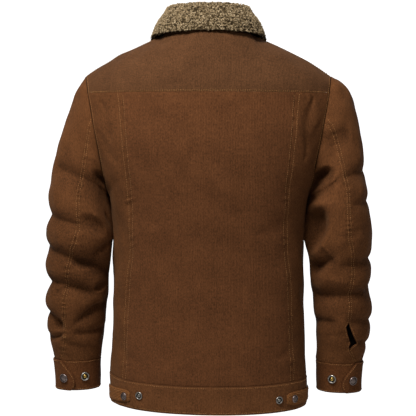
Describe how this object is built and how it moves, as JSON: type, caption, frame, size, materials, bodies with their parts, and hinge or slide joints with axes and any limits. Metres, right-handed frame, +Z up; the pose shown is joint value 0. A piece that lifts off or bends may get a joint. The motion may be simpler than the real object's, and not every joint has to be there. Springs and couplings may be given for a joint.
{
  "type": "sherpa lined jacket",
  "caption": "Corduroy trucker jacket with a turned-down pile collar, long two-piece sleeves, snap cuffs and a waistband with side tabs, hollow and filled out as worn.",
  "frame": {"origin": "middle of the neck opening, level with the base of the collar, where the wearer's shoulders and neck hold the jacket", "axes": "+Z up, from the hem to the collar; -Y towards the front of the wearer; +X towards the wearer's left arm"},
  "size_m": [0.6202, 0.2824, 0.759],
  "materials": {
    "corduroy": "fine-ribbed brown corduroy, matt",
    "pile": "curly tan sherpa pile",
    "snap_metal": "aged metal snap with a dark ring and a brassy centre"
  },
  "bodies": {
    "root": {"back_yoke": "corduroy", "back_centre": "corduroy", "back_side_left": "corduroy", "back_side_right": "corduroy", "front_left": "corduroy", "front_right": "corduroy", "placket": "corduroy", "waistband_back": "corduroy", "waistband_front_left": "corduroy", "waistband_front_right": "corduroy", "tab_left": "corduroy", "tab_right": "corduroy", "sleeve_top_left": "corduroy", "sleeve_under_left": "corduroy", "cuff_left": "corduroy", "sleeve_top_right": "corduroy", "sleeve_under_right": "corduroy", "cuff_right": "corduroy", "collar": "pile", "tab_snap_left": "snap_metal", "band_snap_left": "snap_metal", "tab_snap_right": "snap_metal", "band_snap_right": "snap_metal", "cuff_snap_lap_left": "snap_metal", "cuff_snap_spare_left": "snap_metal", "cuff_snap_lap_right": "snap_metal", "cuff_snap_spare_right": "snap_metal", "front_snap_1": "snap_metal", "front_snap_2": "snap_metal", "front_snap_3": "snap_metal", "front_snap_4": "snap_metal", "front_snap_5": "snap_metal", "front_snap_6": "snap_metal", "front_snap_7": "snap_metal"}
  },
  "joints": []
}
